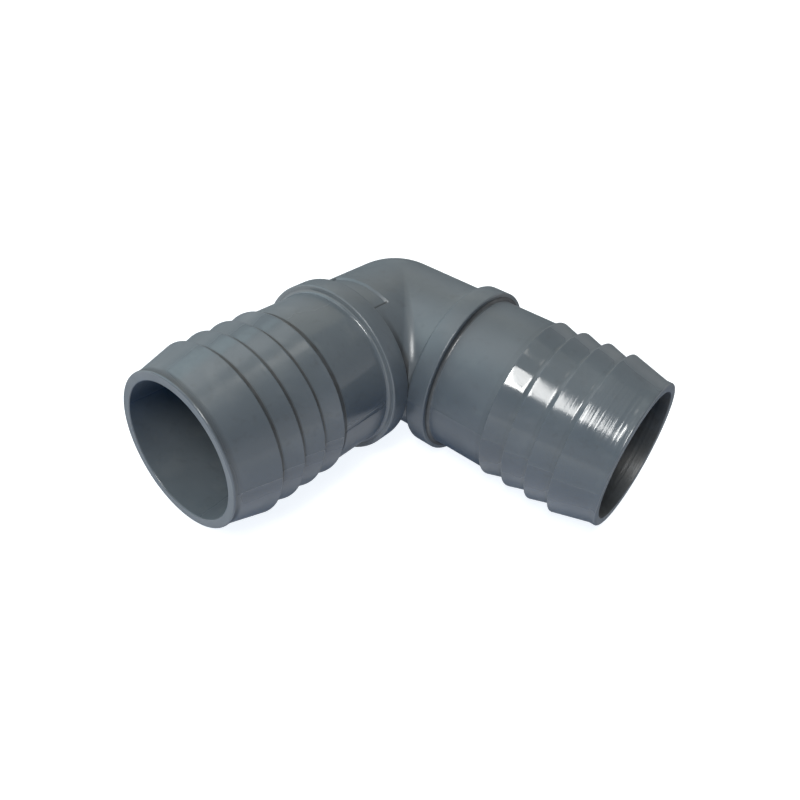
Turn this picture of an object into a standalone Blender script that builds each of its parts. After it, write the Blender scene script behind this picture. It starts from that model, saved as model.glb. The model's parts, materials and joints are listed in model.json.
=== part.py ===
"""Barbed 90 degree PVC elbow for irrigation hose.

A corner body with a banded socket on each arm carries two barbed hose tails. The right arm runs
along +X and the left arm along -Y. The origin lies under the middle of the part, on the surface
that it rests on.
"""

import math

import bmesh
import bpy

# Driving dimensions, in metres
BORE_RADIUS = 0.0171
BORE_CROTCH = 0.0015  # rounding where the two bores meet on the inner side

INSERT_LENGTH = 0.0472  # collar shoulder to mouth
PLAIN_WALL = 0.00395
ROOT_WALL = 0.0033  # between the barbs
ROOT_FILLET = 0.0008
BARB_COUNT = 4
BARB_HEIGHT = 0.0015
BARB_PITCH = 0.0065
BARB_RAMP = 0.0052
BARB_LAND = 0.00025
NOSE_LENGTH = 0.0111  # mouth to the edge of the first barb
RIM_WALL = 0.0023
RIM_LAND = 0.0018
RIM_EDGE = 0.0004
MOUTH_EDGE = 0.0003

SPIGOT_WALL = 0.0023
SPIGOT_CHAMFER = 0.0006
FLANGE_THICKNESS = 0.0012
SEAT_CLEARANCE = 0.0003  # between a tail and its socket, all over the seat

SOCKET_WALL = 0.00145
CROTCH_WEB = 0.0014  # material left between the ends of the two sockets
VALLEY_FILLET = 0.0032
VALLEY_ROOM = 0.00145  # from the body's inner side to the back of a collar
VALLEY_MARGIN = 0.0002  # fillet's end to the collar
COLLAR_LIP = 0.0010  # shoulder ring outside the tail's flange
COLLAR_WIDTH = 0.0058
COLLAR_FRONT_EDGE = 0.0004
COLLAR_BACK_EDGE = 0.0008

AROUND = 36  # facets round each arm
TURN_STEPS = 4  # rings from the straight arm to the mitre plane
ARC_STEPS = 2
MERGE = 0.000001
SHARP_ANGLE = math.radians(25)

GREY_PVC = (0.118, 0.140, 0.162, 1.0)
PVC_ROUGHNESS = 0.38

# Radii that follow from the bore outwards
rim_radius = BORE_RADIUS + RIM_WALL
plain_radius = BORE_RADIUS + PLAIN_WALL
root_radius = BORE_RADIUS + ROOT_WALL
barb_radius = root_radius + BARB_HEIGHT
flange_radius = plain_radius + ROOT_FILLET
spigot_radius = BORE_RADIUS + SPIGOT_WALL
recess_radius = flange_radius + SEAT_CLEARANCE
socket_radius = spigot_radius + SEAT_CLEARANCE
body_radius = socket_radius + SOCKET_WALL
collar_radius = max(body_radius, recess_radius) + COLLAR_LIP

# Distances along an arm from the point where the two axes cross
socket_end = socket_radius + CROTCH_WEB
collar_back = body_radius + VALLEY_ROOM
shoulder = collar_back + COLLAR_WIDTH
flange_seat = shoulder - FLANGE_THICKNESS
mouth = shoulder + INSERT_LENGTH
first_barb = mouth - NOSE_LENGTH

# The crossing point, so that the part's box stands centred over the origin
half_height = max(collar_radius, barb_radius)
corner_offset = (mouth - half_height) / 2
crossing_point = (-corner_offset, corner_offset, half_height)


def clear_scene():
    for obj in list(bpy.data.objects):
        bpy.data.objects.remove(obj, do_unlink=True)


def new_collection(name):
    collection = bpy.data.collections.new(name)
    bpy.context.scene.collection.children.link(collection)
    return collection


def plastic(name):
    material = bpy.data.materials.new(name)
    material.use_nodes = True
    shader = material.node_tree.nodes["Principled BSDF"]
    shader.inputs["Base Color"].default_value = GREY_PVC
    shader.inputs["Roughness"].default_value = PVC_ROUGHNESS
    shader.inputs["Metallic"].default_value = 0.0
    material.diffuse_color = GREY_PVC
    return material


def place(obj, collection, parent, rotation=(0, 0, 0)):
    collection.objects.link(obj)
    obj.parent = parent
    obj.rotation_euler = rotation
    return obj


def arc(centre, radius, start, end):
    """Points (radius, distance) on an arc of the profile, from one angle in degrees to another."""
    steps = [math.radians(start + (end - start) * i / ARC_STEPS) for i in range(ARC_STEPS + 1)]
    return [(centre[0] + radius * math.cos(a), centre[1] + radius * math.sin(a)) for a in steps]


def turn_ring(radius, crotch, turn):
    """Section of an arm, part of the way round from square across it to the mitre plane.

    The outer side follows a ball round the crossing point and the inner side a fillet, both of
    which close up at the crown. The fillet ends before the collar.
    """
    points = []
    reach = collar_back - VALLEY_MARGIN
    for i in range(AROUND):
        angle = 2 * math.pi * i / AROUND
        inward = round(math.cos(angle), 9)
        bend = min(crotch, reach / inward - radius) if inward > 0 else -radius
        along = inward * (radius + bend - bend * math.sin(turn))
        across = inward * (radius + bend - bend * math.cos(turn))
        points.append((along, -across, radius * math.sin(angle)))
    return points


def straight_ring(radius, distance):
    angles = [2 * math.pi * i / AROUND for i in range(AROUND)]
    return [(distance, -radius * math.cos(a), radius * math.sin(a)) for a in angles]


def join_collars(rings):
    """Bring the sections behind the collars onto the line where the two collars meet."""
    for i in range(AROUND):
        angle = 2 * math.pi * i / AROUND
        reach = collar_radius * math.cos(angle)
        if reach > collar_back:
            for ring in rings:
                ring[i] = (reach, -reach, collar_radius * math.sin(angle))
    return rings


def body_rings():
    """Sections of the right half, over the outside from the mitre and back along the bore."""
    turns = [math.radians(45 * i / TURN_STEPS) for i in range(TURN_STEPS + 1)]
    back_middle = (collar_radius - COLLAR_BACK_EDGE, collar_back + COLLAR_BACK_EDGE)
    front_middle = (collar_radius - COLLAR_FRONT_EDGE, shoulder - COLLAR_FRONT_EDGE)
    back = [(body_radius, collar_back), *arc(back_middle, COLLAR_BACK_EDGE, -90, 0)]
    front = [
        *arc(front_middle, COLLAR_FRONT_EDGE, 0, 90),
        (recess_radius, shoulder),
        (recess_radius, flange_seat - SEAT_CLEARANCE),
        (socket_radius, flange_seat - SEAT_CLEARANCE),
        (socket_radius, socket_end),
        (BORE_RADIUS, socket_end),
    ]
    corner = [turn_ring(body_radius, VALLEY_FILLET, t) for t in reversed(turns)]
    corner += [straight_ring(radius, distance) for radius, distance in back]
    sockets = [straight_ring(radius, distance) for radius, distance in front]
    inside = [turn_ring(BORE_RADIUS, BORE_CROTCH, t) for t in turns]
    return join_collars(corner) + sockets + inside


def make_body():
    """Half of the corner as a loft that is open at the mitre plane, completed by a mirror."""
    bm = bmesh.new()
    loops = [[bm.verts.new(point) for point in ring] for ring in body_rings()]
    for near, far in zip(loops, loops[1:]):
        for i in range(AROUND):
            bm.faces.new((near[i - 1], near[i], far[i], far[i - 1]))
    bmesh.ops.remove_doubles(bm, verts=bm.verts, dist=MERGE)
    bmesh.ops.recalc_face_normals(bm, faces=bm.faces)
    mesh = bpy.data.meshes.new("elbow_body")
    bm.to_mesh(mesh)
    bm.free()
    mesh.shade_smooth()
    mesh.set_sharp_from_angle(angle=SHARP_ANGLE)
    return bpy.data.objects.new("elbow_body", mesh)


def mirror_over(obj, plane):
    mirror = obj.modifiers.new("Other arm", "MIRROR")
    mirror.mirror_object = plane
    mirror.use_axis = (True, False, False)
    mirror.use_mirror_merge = True
    mirror.merge_threshold = MERGE


def tail_profile():
    """Closed outline (radius, distance) of a tail: down its outside, then back up its bore."""
    spigot_end = socket_end + SEAT_CLEARANCE
    profile = [
        (BORE_RADIUS + MOUTH_EDGE, mouth),
        *reversed(arc((rim_radius - RIM_EDGE, mouth - RIM_EDGE), RIM_EDGE, 0, 90)),
        (rim_radius, mouth - RIM_LAND),
    ]
    for i in range(BARB_COUNT):
        edge = first_barb - i * BARB_PITCH
        foot = root_radius if i < BARB_COUNT - 1 else plain_radius
        if i:
            profile.append((root_radius, edge + BARB_RAMP))
        profile += [(barb_radius, edge + BARB_LAND), (barb_radius, edge), (foot, edge)]
    profile += [
        *arc((flange_radius, shoulder + ROOT_FILLET), ROOT_FILLET, 180, 270),
        (flange_radius, flange_seat),
        (spigot_radius, flange_seat),
        (spigot_radius, spigot_end + SPIGOT_CHAMFER),
        (spigot_radius - SPIGOT_CHAMFER, spigot_end),
        (BORE_RADIUS, spigot_end),
        (BORE_RADIUS, mouth - MOUTH_EDGE),
    ]
    return profile


def make_tail(name):
    bm = bmesh.new()
    verts = [bm.verts.new((radius, 0, distance)) for radius, distance in tail_profile()]
    for i, vert in enumerate(verts):
        bm.edges.new((verts[i - 1], vert))
    mesh = bpy.data.meshes.new(name)
    bm.to_mesh(mesh)
    bm.free()
    obj = bpy.data.objects.new(name, mesh)
    screw = obj.modifiers.new("Turn", "SCREW")
    screw.axis = "Z"
    screw.angle = 2 * math.pi
    screw.steps = AROUND
    screw.render_steps = AROUND
    screw.use_merge_vertices = True
    screw.merge_threshold = MERGE
    screw.use_smooth_shade = True
    return obj


def main():
    clear_scene()
    parts = new_collection("pvc_elbow_fitting")
    guides = new_collection("guides")

    corner = place(bpy.data.objects.new("corner", None), guides, None)
    corner.location = crossing_point
    mitre = place(bpy.data.objects.new("mitre_plane", None), guides, corner, (0, 0, math.pi / 4))

    body = place(make_body(), parts, corner)
    body.data.materials.append(plastic("elbow_body_pvc"))
    mirror_over(body, mitre)

    arms = {"right": (0, math.pi / 2, 0), "left": (math.pi / 2, 0, 0)}
    for side, rotation in arms.items():
        tail = place(make_tail(f"{side}_barbed_tail"), parts, corner, rotation)
        tail.data.materials.append(plastic(f"{side}_tail_pvc"))


main()
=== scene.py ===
import json
import math

import bmesh
import bpy
from mathutils import Matrix, Vector

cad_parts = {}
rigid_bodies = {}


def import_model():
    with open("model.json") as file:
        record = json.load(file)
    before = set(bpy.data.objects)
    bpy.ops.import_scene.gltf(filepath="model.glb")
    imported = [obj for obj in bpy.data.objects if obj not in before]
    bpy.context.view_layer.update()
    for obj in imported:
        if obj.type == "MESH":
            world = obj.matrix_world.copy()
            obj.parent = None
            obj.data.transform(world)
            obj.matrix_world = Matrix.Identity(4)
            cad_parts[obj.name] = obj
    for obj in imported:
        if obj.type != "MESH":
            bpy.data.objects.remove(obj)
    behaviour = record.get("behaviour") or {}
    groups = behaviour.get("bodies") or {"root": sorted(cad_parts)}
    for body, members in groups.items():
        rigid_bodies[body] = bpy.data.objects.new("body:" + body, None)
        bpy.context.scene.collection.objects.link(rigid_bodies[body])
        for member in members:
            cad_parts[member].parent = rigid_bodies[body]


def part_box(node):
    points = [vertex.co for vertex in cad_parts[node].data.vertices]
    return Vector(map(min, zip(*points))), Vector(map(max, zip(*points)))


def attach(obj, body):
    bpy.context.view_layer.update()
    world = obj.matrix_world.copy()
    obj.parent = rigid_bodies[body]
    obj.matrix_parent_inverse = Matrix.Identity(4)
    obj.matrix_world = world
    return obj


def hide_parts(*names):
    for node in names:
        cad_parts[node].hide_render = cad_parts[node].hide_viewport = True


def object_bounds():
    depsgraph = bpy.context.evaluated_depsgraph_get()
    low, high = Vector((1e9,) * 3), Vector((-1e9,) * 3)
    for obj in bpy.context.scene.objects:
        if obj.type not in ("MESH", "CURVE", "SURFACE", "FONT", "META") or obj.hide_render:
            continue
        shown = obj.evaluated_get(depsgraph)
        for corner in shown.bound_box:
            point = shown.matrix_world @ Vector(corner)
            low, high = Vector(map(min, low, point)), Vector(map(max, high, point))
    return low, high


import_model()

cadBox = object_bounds()
mm = 0.001


def boxOf(node):
    low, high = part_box(node)
    return Vector(low), Vector(high)


# places taken from the frame
bodyLow, bodyHigh = boxOf("elbow_body")
rightLow, rightHigh = boxOf("right_barbed_tail")
leftLow, leftHigh = boxOf("left_barbed_tail")
crossing = Vector(((leftLow.x + leftHigh.x) / 2,
                   (rightLow.y + rightHigh.y) / 2,
                   (bodyLow.z + bodyHigh.z) / 2))  # where the two arm axes meet
collarRadius = (bodyHigh.z - bodyLow.z) / 2
barbRadius = (rightHigh.z - rightLow.z) / 2
shoulder = bodyHigh.x - crossing.x  # distances run along an arm from the crossing
mouth = rightHigh.x - crossing.x
spigotEnd = rightLow.x - crossing.x
floorLevel = cadBox[0][2]

rightAxis = (1, 0, 0)
leftAxis = (0, -1, 0)
toRightArm = Matrix.Translation(crossing)
toLeftArm = Matrix.Translation(crossing) @ Matrix.Rotation(math.radians(-90), 4, "Z")


# shape helpers

roundSegments = 5
sharpAngle = 30
spinWeld = 0.0005 * mm
mirrorWeld = 0.001 * mm


def roundedOutline(bm, corners, closed):
    # wire outline in the XZ plane; a corner is (along, radius, rounding)
    made = [(bm.verts.new((along, 0, radius)), rounding) for along, radius, rounding in corners]
    verts = [vert for vert, rounding in made]
    pairs = list(zip(verts, verts[1:]))
    if closed:
        pairs.append((verts[-1], verts[0]))
    for pair in pairs:
        bm.edges.new(pair)
    for size in sorted({rounding for vert, rounding in made if rounding}):
        picked = [vert for vert, rounding in made if rounding == size]
        bmesh.ops.bevel(bm, geom=picked, offset=size, offset_type="OFFSET", segments=roundSegments,
                        profile=0.5, affect="VERTICES", material=-1)


def splitLongEdges(bm, longest):
    for edge in list(bm.edges):
        cuts = int(edge.calc_length() / longest)
        if cuts:
            bmesh.ops.subdivide_edges(bm, edges=[edge], cuts=cuts)


def spinAll(bm, steps):
    bmesh.ops.spin(bm, geom=bm.verts[:] + bm.edges[:], cent=(0, 0, 0), axis=(1, 0, 0),
                   dvec=(0, 0, 0), angle=2 * math.pi, steps=steps, use_merge=True)
    bmesh.ops.remove_doubles(bm, verts=bm.verts, dist=spinWeld)
    bmesh.ops.recalc_face_normals(bm, faces=bm.faces)


def finishPiece(bm, name, place):
    bm.transform(place)
    mesh = bpy.data.meshes.new(name)
    bm.to_mesh(mesh)
    bm.free()
    mesh.shade_smooth()
    mesh.set_sharp_from_angle(angle=math.radians(sharpAngle))
    piece = bpy.data.objects.new(name, mesh)
    bpy.context.scene.collection.objects.link(piece)
    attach(piece, "root")
    return piece


# mould parting line, on the outside of every piece in the plane of both arms

seam = {
    "height": 0.05 * mm,
    "facets": 1.5,  # half of its width, in facets round the arm
    "narrow": 0.3,  # what is left of that width
    "onPlane": 0.0001 * mm,
}


def raiseSeam(bm, lowest, first, last, around):
    halfWidth = math.sin(seam["facets"] * 2 * math.pi / around)
    for vert in bm.verts:
        radius = math.hypot(vert.co.y, vert.co.z)
        if radius < lowest or not first < vert.co.x < last:
            continue
        if abs(vert.co.z) < seam["onPlane"]:
            vert.co.y += math.copysign(seam["height"], vert.co.y)
        elif abs(vert.co.z) < radius * halfWidth:
            vert.co.z *= seam["narrow"]


# barbed tails

tail = {
    "boreRadius": 17.1 * mm,
    "plainRadius": 21.05 * mm,
    "rootRadius": 20.4 * mm,
    "rimRadius": 19.4 * mm,
    "rimLand": 1.8 * mm,
    "noseLength": 11.1 * mm,
    "barbCount": 4,
    "barbPitch": 6.5 * mm,
    "barbRamp": 5.2 * mm,
    "barbLand": 0.25 * mm,
    "edgeRound": 0.08 * mm,
    "rootRound": 0.2 * mm,
    "rampRound": 0.4 * mm,
    "rimRound": 0.42 * mm,
    "boreRound": 0.28 * mm,
    "rootFillet": 0.8 * mm,
    "flangeRadius": 22.14 * mm,
    "flangeThickness": 1.2 * mm,
    "spigotRadius": 19.4 * mm,
    "seamInside": 0.3 * mm,  # how far inside the rim's radius the parting line still counts
    "seamFromShoulder": 0.3 * mm,
    "seamToMouth": 0.5 * mm,
    "longestEdge": 0.8 * mm,
    "around": 240,
}
firstBarb = mouth - tail["noseLength"]  # edge of the barb nearest to the mouth
secondBarb = firstBarb - tail["barbPitch"]
lastBarb = firstBarb - (tail["barbCount"] - 1) * tail["barbPitch"]


def tailOutside():
    # corners of the outer side, from the rim back to the collar
    t = tail
    corners = [(mouth, t["rimRadius"], t["rimRound"]),
               (mouth - t["rimLand"], t["rimRadius"], t["rampRound"])]
    for index in range(t["barbCount"]):
        edge = firstBarb - index * t["barbPitch"]
        foot = t["rootRadius"] if index < t["barbCount"] - 1 else t["plainRadius"]
        if index:
            corners.append((edge + t["barbRamp"], t["rootRadius"], t["rampRound"]))
        corners += [(edge + t["barbLand"], barbRadius, t["edgeRound"]),
                    (edge, barbRadius, t["edgeRound"]),
                    (edge, foot, t["rootRound"])]
    corners.append((shoulder, t["plainRadius"], t["rootFillet"]))
    return corners


def makeTail(name, node, place):
    t = tail
    flangeSeat = shoulder - t["flangeThickness"]
    corners = [(mouth, t["boreRadius"], t["boreRound"])] + tailOutside()
    corners += [(shoulder, t["flangeRadius"], 0),
                (flangeSeat, t["flangeRadius"], 0),
                (flangeSeat, t["spigotRadius"], 0),
                (spigotEnd, t["spigotRadius"], t["rimRound"]),
                (spigotEnd, t["boreRadius"], t["boreRound"])]
    bm = bmesh.new()
    roundedOutline(bm, corners, closed=True)
    splitLongEdges(bm, t["longestEdge"])
    spinAll(bm, t["around"])
    raiseSeam(bm, t["rimRadius"] - t["seamInside"], shoulder + t["seamFromShoulder"],
              mouth - t["seamToMouth"], t["around"])
    piece = finishPiece(bm, name, place)
    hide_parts(node)
    return piece


rightTail = makeTail("right_tail_moulding", "right_barbed_tail", toRightArm)
leftTail = makeTail("left_tail_moulding", "left_barbed_tail", toLeftArm)
print("tails:", len(rightTail.data.polygons), "faces each")


# corner body

body = {
    "radius": 21.15 * mm,
    "collarWidth": 5.8 * mm,
    "frontRound": 0.38 * mm,
    "backRound": 0.8 * mm,
    "backRoot": 0.15 * mm,
    "recessRadius": 22.15 * mm,
    "recessDepth": 1.5 * mm,
    "socketRadius": 19.7 * mm,
    "socketEnd": 21.1 * mm,
    "valleyFillet": 3.2 * mm,
    "valleyMargin": 0.2 * mm,
    "boreCrotch": 1.5 * mm,
    "seamInside": 0.01 * mm,
    "seamToShoulder": 0.4 * mm,
    "meetingSteps": 400,
    "meetingSide": 0.9,  # the collars meet only this near to the inner side
    "crownSide": 0.000001,  # from here on a point lies on the inner side of the crown
    "turnSteps": 24,
    "turnLength": 10 * mm,
    "around": 288,
}
collarBack = shoulder - body["collarWidth"]

# shallow sunk panel beside the left collar; angles run from the inner side over the top
panel = {
    "first": 15.7 * mm,
    "last": 22.2 * mm,
    "startAngle": 66.25,
    "endAngle": 117.5,
    "depth": 0.48 * mm,
    "sideRun": 0.12 * mm,
    "backRun": 0.60 * mm,
    "cutFrom": 3.14 * mm,  # the faces from here to the collar are cut at the panel's ends
    "cutSnap": 0.0001 * mm,
}


def collarMeeting(inward):
    # radius at which the rounded backs of the two collars meet, or 0 where they stay apart
    rounding = body["backRound"]
    steps = body["meetingSteps"]
    for i in range(steps):
        radius = collarRadius - rounding * i / steps
        rise = radius - (collarRadius - rounding)
        along = collarBack + rounding - math.sqrt(max(0, rounding ** 2 - rise ** 2))
        if radius * inward >= along:
            return radius
    return 0


def foldToMitre(bm):
    # stations behind the crossing turn towards the mitre plane: ball outside, fillet inside
    middle = (body["radius"] + body["socketRadius"]) / 2
    reach = collarBack - body["valleyMargin"]
    for vert in bm.verts:
        radius = math.hypot(vert.co.y, vert.co.z)
        inward = -vert.co.y / radius
        outside = radius > middle
        behindCollar = vert.co.x < collarBack + body["backRound"] - mirrorWeld
        if outside and behindCollar and inward > body["meetingSide"]:
            meeting = collarMeeting(inward)
            if radius <= meeting:
                height = vert.co.z * meeting / radius
                vert.co = (meeting * inward, -meeting * inward, height)
                continue
        if vert.co.x > 0:
            continue
        turn = math.radians(45) * min(1, -vert.co.x / body["turnLength"])
        fillet = body["valleyFillet"] if outside else body["boreCrotch"]
        if inward > body["crownSide"]:
            bend = min(fillet, reach / inward - radius)
        else:
            bend = -radius
        vert.co.x = inward * (radius + bend - bend * math.sin(turn))
        vert.co.y = -inward * (radius + bend - bend * math.cos(turn))


def leftArmFaces(bm, first, last):
    # outer faces of the left arm within the panel's angles
    picked = []
    for face in bm.faces:
        middle = face.calc_center_median()
        radius = math.hypot(middle.x, middle.z)
        angle = math.degrees(math.atan2(middle.z, middle.x))
        if radius > body["socketRadius"] and first < -middle.y < last:
            if panel["startAngle"] < angle < panel["endAngle"]:
                picked.append(face)
    return picked


def sinkPanel(bm):
    p = panel
    for along in (p["first"], p["last"]):
        strip = leftArmFaces(bm, p["cutFrom"], collarBack)
        around = {part for face in strip for part in face.verts[:] + face.edges[:]}
        bmesh.ops.bisect_plane(bm, geom=strip + list(around), dist=p["cutSnap"],
                               plane_co=(0, -along, 0), plane_no=(0, 1, 0))
    sunk = leftArmFaces(bm, p["first"], p["last"])
    bmesh.ops.inset_region(bm, faces=sunk, thickness=p["sideRun"], depth=-p["depth"],
                           use_boundary=True, use_even_offset=True)
    # the wall at the back is the flattest
    for vert in {vert for face in sunk for vert in face.verts}:
        if -vert.co.y < p["first"] + 2 * p["sideRun"]:
            vert.co.y -= p["backRun"] - p["sideRun"]


def makeBody():
    b = body
    recessFloor = shoulder - b["recessDepth"]
    stations = [-b["turnLength"] * i / b["turnSteps"] for i in range(b["turnSteps"] + 1)]
    corners = [(x, b["radius"], 0) for x in reversed(stations)]
    corners += [(collarBack, b["radius"], b["backRoot"]),
                (collarBack, collarRadius, b["backRound"]),
                (shoulder, collarRadius, b["frontRound"]),
                (shoulder, b["recessRadius"], 0),
                (recessFloor, b["recessRadius"], 0),
                (recessFloor, b["socketRadius"], 0),
                (b["socketEnd"], b["socketRadius"], 0),
                (b["socketEnd"], tail["boreRadius"], 0)]
    corners += [(x, tail["boreRadius"], 0) for x in stations]
    bm = bmesh.new()
    roundedOutline(bm, corners, closed=False)
    spinAll(bm, b["around"])
    raiseSeam(bm, b["radius"] - b["seamInside"], -2 * b["turnLength"],
              shoulder - b["seamToShoulder"], b["around"])
    foldToMitre(bm)
    bmesh.ops.remove_doubles(bm, verts=bm.verts, dist=mirrorWeld)
    # the mitre plane is turned to x = 0, where the mirror welds the halves
    bm.transform(Matrix.Rotation(math.radians(-45), 4, "Z"))
    bmesh.ops.mirror(bm, geom=bm.verts[:] + bm.edges[:] + bm.faces[:], axis="X",
                     matrix=Matrix.Identity(4), merge_dist=mirrorWeld)
    bm.transform(Matrix.Rotation(math.radians(45), 4, "Z"))
    bmesh.ops.recalc_face_normals(bm, faces=bm.faces)
    sinkPanel(bm)
    piece = finishPiece(bm, "corner_moulding", toRightArm)
    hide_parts("elbow_body")
    return piece


cornerBody = makeBody()
print("corner body:", len(cornerBody.data.polygons), "faces")


# node helpers

vectorSocket = "NodeSocketVector"
valueSocket = "NodeSocketFloat"
colourSocket = "NodeSocketColor"


def addNode(tree, kind, **values):
    node = tree.nodes.new(kind)
    for key, value in values.items():
        setattr(node, key, value)
    return node


def newGroup(name, inputs, outputs):
    group = bpy.data.node_groups.new(name, "ShaderNodeTree")
    for socketName, socketType in inputs.items():
        group.interface.new_socket(socketName, in_out="INPUT", socket_type=socketType)
    for socketName, socketType in outputs.items():
        group.interface.new_socket(socketName, in_out="OUTPUT", socket_type=socketType)
    return group, addNode(group, "NodeGroupInput"), addNode(group, "NodeGroupOutput")


def spread(tree, value, fromLow, fromHigh, toLow, toHigh):
    node = addNode(tree, "ShaderNodeMapRange")
    for socket, amount in zip(("From Min", "From Max", "To Min", "To Max"),
                              (fromLow, fromHigh, toLow, toHigh)):
        node.inputs[socket].default_value = amount
    tree.links.new(value, node.inputs["Value"])
    return node.outputs["Result"]


def calculate(tree, operation, first, second=0):
    node = addNode(tree, "ShaderNodeMath", operation=operation)
    for socket, value in zip(node.inputs, (first, second)):
        if isinstance(value, (int, float)):
            socket.default_value = value
        else:
            tree.links.new(value, socket)
    return node.outputs["Value"]


def product(tree, first, *others):
    for other in others:
        first = calculate(tree, "MULTIPLY", first, other)
    return first


def above(tree, value, least):
    return calculate(tree, "GREATER_THAN", value, least)


def below(tree, value, most):
    return calculate(tree, "LESS_THAN", value, most)


def vectorStep(tree, operation, first, second, output="Vector"):
    node = addNode(tree, "ShaderNodeVectorMath", operation=operation)
    for socket, value in zip(node.inputs, (first, second)):
        if isinstance(value, (tuple, Vector)):
            socket.default_value = tuple(value)
        elif value is not None:
            tree.links.new(value, socket)
    return node.outputs[output]


def blend(tree, factor, first, second):
    node = addNode(tree, "ShaderNodeMix", data_type="RGBA")
    tree.links.new(factor, node.inputs["Factor"])
    for socket, value in zip((node.inputs["A"], node.inputs["B"]), (first, second)):
        if isinstance(value, tuple):
            socket.default_value = value
        else:
            tree.links.new(value, socket)
    return node.outputs["Result"]


def fromCrossing(tree, given):
    return vectorStep(tree, "SUBTRACT", given.outputs["Position"], crossing)


def alongArm(tree, given):
    return vectorStep(tree, "DOT_PRODUCT", fromCrossing(tree, given), given.outputs["Axis"], "Value")


def fromAxis(tree, given):
    aside = vectorStep(tree, "CROSS_PRODUCT", fromCrossing(tree, given), given.outputs["Axis"])
    return vectorStep(tree, "LENGTH", aside, None, "Value")


# finishes of the grey plastic

finish = {
    "darkGrey": (0.080, 0.094, 0.107, 1),
    "lightGrey": (0.096, 0.112, 0.127, 1),
    # pale grey of scuffs, also used for the painted light on the shoulder ring
    "scuffAndLitGrey": (0.185, 0.196, 0.200, 1),
    "dustGrey": (0.060, 0.064, 0.068, 1),
    # near black painted shade for creases, corners, the panel's end and the bore
    "shadeColour": (0.018, 0.019, 0.020, 1),
    "dull": 0.6,  # roughness added where the skin is seen edge on
    "dullFrom": 0.42,
    "dullTo": 0.82,
    # roughness added under the painted shade
    "shadeDull": 0.35,
    "reliefDepth": 0.035 * mm,
    "ior": 1.53,
}

# noise patterns: what the noise gives between the values of "noise" becomes the values of "gives"
patterns = {
    "clouds": {"scale": 60, "detail": 4, "distortion": 0, "noise": (0.32, 0.68), "gives": (0, 1)},
    "scuffs": {"scale": 130, "detail": 3, "distortion": 0.3, "noise": (0.56, 0.80), "gives": (0, 0.20)},
    "spots": {"scale": 420, "detail": 2, "distortion": 0, "noise": (0.58, 0.80), "gives": (0, 0.3)},
    "handling": {"scale": 75, "detail": 2, "distortion": 0.6, "noise": (0.35, 0.70), "gives": (0.08, 0.18)},
    # patches that break up the painted light on the shoulder
    "lightPatches": {"scale": 260, "detail": 3, "distortion": 0, "noise": (0.3, 0.7), "gives": (0.7, 1)},
    # patches that break up the painted shade
    "patchyShade": {"scale": 320, "detail": 4, "distortion": 0, "noise": (0.3, 0.65), "gives": (0.75, 1)},
    "waves": {"scale": 110, "detail": 2, "distortion": 0, "noise": (0, 1), "gives": (0, 0.55)},
    "grain": {"scale": 1100, "detail": 2, "distortion": 0, "noise": (0, 1), "gives": (0, 0.05)},
}


def patternOn(tree, given, name):
    p = patterns[name]
    noise = addNode(tree, "ShaderNodeTexNoise")
    for socket in ("Scale", "Detail", "Distortion"):
        noise.inputs[socket].default_value = p[socket.lower()]
    tree.links.new(given.outputs["Position"], noise.inputs["Vector"])
    return spread(tree, noise.outputs["Fac"], *p["noise"], *p["gives"])


def mottledGreyGroup():
    # cloudy moulded grey with pale scuffs and dusty spots
    tree, given, result = newGroup("mottled_grey", {"Position": vectorSocket}, {"Colour": colourSocket})
    colour = blend(tree, patternOn(tree, given, "clouds"), finish["darkGrey"], finish["lightGrey"])
    colour = blend(tree, patternOn(tree, given, "scuffs"), colour, finish["scuffAndLitGrey"])
    colour = blend(tree, patternOn(tree, given, "spots"), colour, finish["dustGrey"])
    tree.links.new(colour, result.inputs["Colour"])
    return tree


def handledSheenGroup():
    # gloss that is duller where the fitting has been handled, and where a clamp has worn it
    tree, given, result = newGroup(
        "handled_sheen",
        {"Position": vectorSocket, "Axis": vectorSocket, "Worn": valueSocket, "Clamped": valueSocket},
        {"Roughness": valueSocket})
    along = alongArm(tree, given)
    clamped = product(tree, below(tree, along, lastBarb),
                      above(tree, along, shoulder + tail["rootFillet"]), given.outputs["Clamped"])
    worn = calculate(tree, "ADD", patternOn(tree, given, "handling"), given.outputs["Worn"])
    tree.links.new(calculate(tree, "ADD", worn, clamped), result.inputs["Roughness"])
    return tree


turning = {
    "scale": 1250,
    "detail": 2,
    "least": 0.3,  # strength at the second barb, where 1 is the strength on the nose
}


def mouldSkinGroup():
    # slight waviness and grain of the mould, and the marks of its turning along an arm
    tree, given, result = newGroup(
        "mould_skin",
        {"Position": vectorSocket, "Axis": vectorSocket, "Turning": valueSocket},
        {"Height": valueSocket})
    along = alongArm(tree, given)
    rings = addNode(tree, "ShaderNodeTexNoise", noise_dimensions="1D")
    rings.inputs["Scale"].default_value = turning["scale"]
    rings.inputs["Detail"].default_value = turning["detail"]
    tree.links.new(along, rings.inputs["W"])
    # the marks grow from the second barb to the nose
    marks = product(tree, rings.outputs["Fac"], given.outputs["Turning"],
                    spread(tree, along, secondBarb, firstBarb, turning["least"], 1),
                    above(tree, along, secondBarb))
    skin = calculate(tree, "ADD", patternOn(tree, given, "waves"), patternOn(tree, given, "grain"))
    tree.links.new(calculate(tree, "ADD", skin, marks), result.inputs["Height"])
    return tree


# width of the painted light on the shoulder ring
shoulderBand = {
    "behind": 0.10 * mm,
    "before": 0.15 * mm,
}


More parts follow.
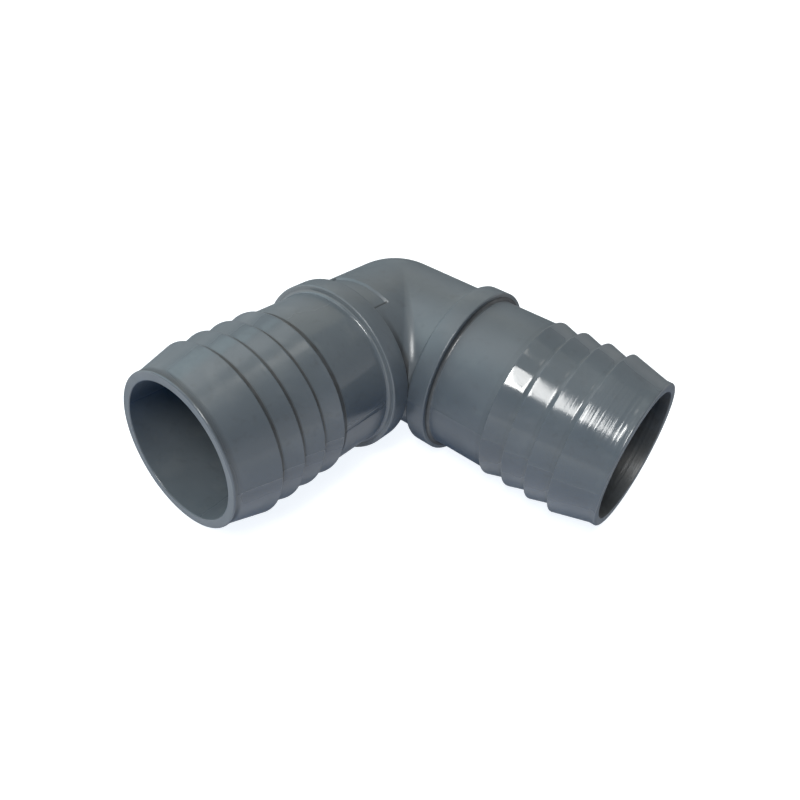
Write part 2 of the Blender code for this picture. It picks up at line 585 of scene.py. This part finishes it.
def paintedShoulderLightGroup():
    # painted light: a pale ring on the shoulder, where the shoulder face catches light
    tree, given, result = newGroup(
        "painted_shoulder_light",
        {"Position": vectorSocket, "Axis": vectorSocket, "ShoulderLight": valueSocket},
        {"LitRing": valueSocket})
    along = alongArm(tree, given)
    ring = product(tree, above(tree, along, shoulder - shoulderBand["behind"]),
                   below(tree, along, shoulder + shoulderBand["before"]),
                   patternOn(tree, given, "lightPatches"), given.outputs["ShoulderLight"])
    tree.links.new(ring, result.inputs["LitRing"])
    return tree


# sizes of the painted shade in the creases of a tail
creases = {
    "barbFull": 0.235,  # shares of the barb pitch
    "barbReach": 0.290,
    "barbEdge": 0.02 * mm,
    "lastReach": 2.6 * mm,
    "footFull": 0.4 * mm,
    "footReach": 0.8 * mm,
    "rimBack": 0.3 * mm,
    "rimFull": 0.7 * mm,
    "rimFront": 0.3 * mm,
    "boreFull": 0.05 * mm,
    "boreReach": 0.2 * mm,
}


def creaseShadeGroup():
    # painted shade behind each barb, at the foot of the tail, in the band behind the rim and in the bore
    c = creases
    tree, given, result = newGroup(
        "painted_crease_shade",
        {"Position": vectorSocket, "Axis": vectorSocket, "Barbs": valueSocket,
         "Foot": valueSocket, "Rim": valueSocket, "Bore": valueSocket},
        {"PaintedShade": valueSocket})
    along = alongArm(tree, given)
    radius = fromAxis(tree, given)
    back = calculate(tree, "SUBTRACT", firstBarb + c["barbEdge"], along)
    back = calculate(tree, "FRACT", calculate(tree, "DIVIDE", back, tail["barbPitch"]))
    barbs = product(tree, spread(tree, back, c["barbFull"], c["barbReach"], 1, 0),
                    below(tree, along, firstBarb + c["barbEdge"]),
                    above(tree, along, lastBarb - c["lastReach"]), given.outputs["Barbs"])
    foot = product(tree, spread(tree, along, shoulder + c["footFull"], shoulder + c["footReach"], 1, 0),
                   given.outputs["Foot"])
    rimStart = mouth - tail["rimLand"] - c["rimBack"]
    rim = product(tree, spread(tree, along, rimStart, mouth - c["rimFull"], 0, 1),
                  below(tree, along, mouth - c["rimFront"]), given.outputs["Rim"])
    outer = calculate(tree, "MAXIMUM", calculate(tree, "MAXIMUM", barbs, foot), rim)
    outer = product(tree, outer, above(tree, radius, (tail["rimRadius"] + tail["boreRadius"]) / 2))
    bore = spread(tree, radius, tail["boreRadius"] + c["boreFull"],
                  tail["boreRadius"] + c["boreReach"], 1, 0)
    bore = product(tree, bore, given.outputs["Bore"])
    patchyShade = product(tree, calculate(tree, "MAXIMUM", outer, bore), patternOn(tree, given, "patchyShade"))
    tree.links.new(patchyShade, result.inputs["PaintedShade"])
    return tree


# sizes of the painted shade at the panel's end and behind the left collar
panelShading = {
    "end": 0.9,
    "endFull": 0.4 * mm,
    "endReach": 0.8 * mm,
    "endStart": -0.02 * mm,
    "backClear": 0.3 * mm,
    "corner": 0.8,
    "cornerReach": 3.2 * mm,
    "cornerFull": 2.2 * mm,
    "collarEdge": 0.05 * mm,
    "inwardFrom": 0.45,  # shares of the body's radius
    "inwardFull": 0.80,
}


def panelShadeGroup():
    # painted shade along the end of the sunk panel and in the corner behind the left collar
    d = panelShading
    tree, given, result = newGroup("painted_panel_shade", {"Position": vectorSocket}, {"PaintedShade": valueSocket})
    start = math.radians(panel["startAngle"])
    offset = fromCrossing(tree, given)
    along = vectorStep(tree, "DOT_PRODUCT", offset, leftAxis, "Value")
    inward = vectorStep(tree, "DOT_PRODUCT", offset, rightAxis, "Value")
    beside = vectorStep(tree, "DOT_PRODUCT", offset, (-math.sin(start), 0, math.cos(start)), "Value")
    end = product(tree, spread(tree, beside, d["endFull"], d["endReach"], d["end"], 0),
                  above(tree, beside, d["endStart"]),
                  above(tree, along, panel["first"] + d["backClear"]),
                  above(tree, inward, 0),
                  below(tree, along, panel["last"]))
    corner = product(tree, spread(tree, along, collarBack - d["cornerReach"],
                                  collarBack - d["cornerFull"], 0, d["corner"]),
                     below(tree, along, collarBack + d["collarEdge"]),
                     above(tree, along, inward),
                     spread(tree, inward, d["inwardFrom"] * body["radius"],
                            d["inwardFull"] * body["radius"], 0, 1))
    tree.links.new(calculate(tree, "MAXIMUM", end, corner), result.inputs["PaintedShade"])
    return tree


mottledGrey = mottledGreyGroup()
handledSheen = handledSheenGroup()
mouldSkin = mouldSkinGroup()
paintedShoulderLight = paintedShoulderLightGroup()
creaseShade = creaseShadeGroup()
panelShade = panelShadeGroup()

# ShoulderLight sets the painted light on the shoulder; Barbs, Foot, Rim and Bore set the painted shade
bodyFinish = {"Axis": leftAxis, "Worn": 0.20, "Clamped": 0, "ShoulderLight": 0.6, "Turning": 0}
rightFinish = {"Axis": rightAxis, "Worn": 0, "Clamped": 0.25, "ShoulderLight": 0, "Turning": 1.2,
               "Barbs": 0.1, "Foot": 0.9, "Rim": 0.1, "Bore": 0.9}
leftFinish = {"Axis": leftAxis, "Worn": 0.05, "Clamped": 0, "ShoulderLight": 0.6, "Turning": 0.3,
              "Barbs": 0.95, "Foot": 0, "Rim": 0.5, "Bore": 0}


def useGroup(tree, group, position, values):
    # a group takes the values that it has an input for
    node = addNode(tree, "ShaderNodeGroup", node_tree=group)
    tree.links.new(position, node.inputs["Position"])
    for socket in node.inputs:
        if socket.name in values:
            socket.default_value = values[socket.name]
    return node


def greyPvc(name, shadeGroup, values):
    material = bpy.data.materials.new(name)
    material.use_nodes = True
    tree = material.node_tree
    shader = tree.nodes["Principled BSDF"]
    shader.inputs["IOR"].default_value = finish["ior"]
    position = addNode(tree, "ShaderNodeTexCoord").outputs["Object"]
    colour = useGroup(tree, mottledGrey, position, values).outputs["Colour"]
    paintedLight = useGroup(tree, paintedShoulderLight, position, values).outputs["LitRing"]
    patchyShade = useGroup(tree, shadeGroup, position, values).outputs["PaintedShade"]
    sheen = useGroup(tree, handledSheen, position, values).outputs["Roughness"]
    skin = useGroup(tree, mouldSkin, position, values).outputs["Height"]

    # painted light: a pale ring on the shoulder
    colour = blend(tree, paintedLight, colour, finish["scuffAndLitGrey"])
    # painted shade in the creases, corners and bores
    tree.links.new(blend(tree, patchyShade, colour, finish["shadeColour"]), shader.inputs["Base Color"])

    # the moulded skin is dull where it is seen along the surface, and so is the painted shade
    edge = addNode(tree, "ShaderNodeLayerWeight").outputs["Facing"]
    dull = spread(tree, edge, finish["dullFrom"], finish["dullTo"], 0, finish["dull"])
    matt = calculate(tree, "MULTIPLY", patchyShade, finish["shadeDull"])
    roughness = calculate(tree, "ADD", calculate(tree, "ADD", sheen, dull), matt)
    tree.links.new(roughness, shader.inputs["Roughness"])

    bump = addNode(tree, "ShaderNodeBump")
    bump.inputs["Distance"].default_value = finish["reliefDepth"]
    tree.links.new(skin, bump.inputs["Height"])
    tree.links.new(bump.outputs["Normal"], shader.inputs["Normal"])
    return material


cornerBody.data.materials.append(greyPvc("body_grey_pvc", panelShade, bodyFinish))
rightTail.data.materials.append(greyPvc("right_tail_grey_pvc", creaseShade, rightFinish))
leftTail.data.materials.append(greyPvc("left_tail_grey_pvc", creaseShade, leftFinish))
print("materials done")


# floor, light and camera

def seenFactor(tree):
    # 1 for the camera and for reflections and see-through, which all show the same background
    path = addNode(tree, "ShaderNodeLightPath")
    mirrored = calculate(tree, "MAXIMUM", path.outputs["Is Glossy Ray"],
                         path.outputs["Is Transmission Ray"])
    return calculate(tree, "MAXIMUM", path.outputs["Is Camera Ray"], mirrored)


floorSettings = {
    "radius": 8.0,
    "sides": 96,
    "paleBlue": (0.10, 0.24, 0.52, 1),
    "seenDiffuse": (0.40, 0.39, 0.38, 1),
    "nearGlow": (0.86, 0.90, 0.95, 1),
    "farGlow": (1, 1, 1, 1),
    "nearTo": 0.09,
    "farFrom": 0.24,
    "glow": 1.0,
}


def makeFloor():
    s = floorSettings
    bm = bmesh.new()
    bmesh.ops.create_circle(bm, cap_ends=True, radius=s["radius"], segments=s["sides"])
    bm.transform(Matrix.Translation((0, 0, floorLevel)))
    mesh = bpy.data.meshes.new("floor")
    bm.to_mesh(mesh)
    bm.free()
    floor = bpy.data.objects.new("floor", mesh)
    bpy.context.scene.collection.objects.link(floor)

    material = bpy.data.materials.new("pale_floor")
    material.use_nodes = True
    tree = material.node_tree
    tree.nodes.remove(tree.nodes["Principled BSDF"])
    pale = addNode(tree, "ShaderNodeBsdfDiffuse")
    pale.inputs["Color"].default_value = s["paleBlue"]
    shadowed = addNode(tree, "ShaderNodeBsdfDiffuse")
    shadowed.inputs["Color"].default_value = s["seenDiffuse"]
    place = addNode(tree, "ShaderNodeTexCoord").outputs["Object"]
    distance = vectorStep(tree, "LENGTH", place, None, "Value")
    away = spread(tree, distance, s["nearTo"], s["farFrom"], 0, 1)
    glow = addNode(tree, "ShaderNodeEmission")
    glow.inputs["Strength"].default_value = s["glow"]
    tree.links.new(blend(tree, away, s["nearGlow"], s["farGlow"]), glow.inputs["Color"])
    seen = addNode(tree, "ShaderNodeAddShader")
    tree.links.new(shadowed.outputs[0], seen.inputs[0])
    tree.links.new(glow.outputs[0], seen.inputs[1])
    choose = addNode(tree, "ShaderNodeMixShader")
    tree.links.new(seenFactor(tree), choose.inputs["Fac"])
    tree.links.new(pale.outputs[0], choose.inputs[1])
    tree.links.new(seen.outputs[0], choose.inputs[2])
    tree.links.new(choose.outputs[0], tree.nodes["Material Output"].inputs["Surface"])
    floor.data.materials.append(material)


makeFloor()


def directionFrom(azimuth, elevation):
    a, e = math.radians(azimuth), math.radians(elevation)
    return Vector((math.sin(a) * math.cos(e), -math.cos(a) * math.cos(e), math.sin(e)))


def lookAlong(back, roll=0):
    right = Vector((0, 0, 1)).cross(back).normalized()
    up = back.cross(right)
    turn = math.radians(roll)
    sideways = right * math.cos(turn) + up * math.sin(turn)
    upwards = up * math.cos(turn) - right * math.sin(turn)
    return Matrix((sideways, upwards, back)).transposed()


worldSettings = {
    "lit": (0.74, 0.95, 1.0, 1),
    "unlit": (0, 0, 0, 1),
    "strength": 0.4,
    "azimuth": -75,
    "elevation": 35,
    "litFrom": -0.1,
    "horizon": (1, 1, 1, 1),
    "above": (0.36, 0.37, 0.39, 1),
    "whiteTo": 0.10,
    "greyFrom": 0.45,
    "seenStrength": 1.0,
}


def makeWorld():
    s = worldSettings
    world = bpy.data.worlds.new("studio")
    bpy.context.scene.world = world
    world.use_nodes = True
    tree = world.node_tree
    direction = addNode(tree, "ShaderNodeTexCoord").outputs["Generated"]
    # soft light from the left side of the room
    lit = tree.nodes["Background"]
    lit.inputs["Strength"].default_value = s["strength"]
    leftness = vectorStep(tree, "DOT_PRODUCT", direction,
                          directionFrom(s["azimuth"], s["elevation"]), "Value")
    leftness = spread(tree, leftness, s["litFrom"], 1, 0, 1)
    tree.links.new(blend(tree, leftness, s["unlit"], s["lit"]), lit.inputs["Color"])
    # white at the horizon and grey above
    split = addNode(tree, "ShaderNodeSeparateXYZ")
    tree.links.new(direction, split.inputs["Vector"])
    climb = spread(tree, split.outputs["Z"], s["whiteTo"], s["greyFrom"], 0, 1)
    seen = addNode(tree, "ShaderNodeBackground")
    seen.inputs["Strength"].default_value = s["seenStrength"]
    tree.links.new(blend(tree, climb, s["horizon"], s["above"]), seen.inputs["Color"])
    choose = addNode(tree, "ShaderNodeMixShader")
    tree.links.new(seenFactor(tree), choose.inputs["Fac"])
    tree.links.new(lit.outputs[0], choose.inputs[1])
    tree.links.new(seen.outputs[0], choose.inputs[2])
    tree.links.new(choose.outputs[0], tree.nodes["World Output"].inputs["Surface"])


makeWorld()


lamps = {
    "window": {"azimuth": 20.5, "elevation": 52.5, "distance": 0.7, "size": (0.090, 0.285),
               "power": 2.7, "colour": (1, 1, 0.98)},
    "windowSide": {"azimuth": 32.4, "elevation": 52.5, "distance": 0.7, "size": (0.090, 0.285),
                   "power": 1.2, "colour": (1, 1, 0.98)},
    "leftRoom": {"azimuth": -65, "elevation": 35, "distance": 0.95, "size": (1.0, 0.8),
                 "power": 3.4, "colour": (0.74, 0.95, 1)},
    "leftHigh": {"azimuth": -70, "elevation": 68, "distance": 1.0, "size": (0.6, 0.45),
                 "power": 0.75, "colour": (1, 1, 1)},
    "ceiling": {"azimuth": -80, "elevation": 84, "distance": 1.1, "size": (1.1, 1.1),
                "power": 1.5, "colour": (1, 1, 0.9)},
    "ceilingLight": {"azimuth": 108, "elevation": 82.5, "distance": 1.0, "size": (0.16, 0.16),
                     "power": 0.18, "colour": (1, 0.97, 0.9)},
    "backRoom": {"azimuth": -140, "elevation": 42, "distance": 0.9, "size": (0.6, 0.6),
                 "power": 0.5, "colour": (1, 0.9, 0.65)},
}


def makeLamps():
    for name, s in lamps.items():
        light = bpy.data.lights.new(name, "AREA")
        light.shape = "RECTANGLE"
        light.size, light.size_y = s["size"]
        light.energy = s["power"]
        light.color = s["colour"]
        lamp = bpy.data.objects.new(name, light)
        back = directionFrom(s["azimuth"], s["elevation"])
        turned = lookAlong(back).to_4x4()
        lamp.matrix_world = Matrix.Translation(crossing + back * s["distance"]) @ turned
        bpy.context.scene.collection.objects.link(lamp)


makeLamps()


cameraSettings = {
    "azimuth": 34.84,
    "elevation": 36.66,
    "roll": 7.21,
    "distance": 0.2002,
    "aimRight": 1.51 * mm,
    "aimUp": -19.83 * mm,
    "lens": 30.91,
    "sensor": 36,
    "nearest": 0.01,
}


def makeCamera():
    s = cameraSettings
    data = bpy.data.cameras.new("camera")
    data.sensor_width = s["sensor"]
    data.lens = s["lens"]
    data.clip_start = s["nearest"]
    camera = bpy.data.objects.new("camera", data)
    back = directionFrom(s["azimuth"], s["elevation"])
    turned = lookAlong(back, s["roll"])
    aim = crossing + turned @ Vector((s["aimRight"], s["aimUp"], 0))
    camera.matrix_world = Matrix.Translation(aim + back * s["distance"]) @ turned.to_4x4()
    bpy.context.scene.collection.objects.link(camera)
    bpy.context.scene.camera = camera


makeCamera()
bpy.context.scene.view_settings.view_transform = "Standard"
print("floor, light and camera done")
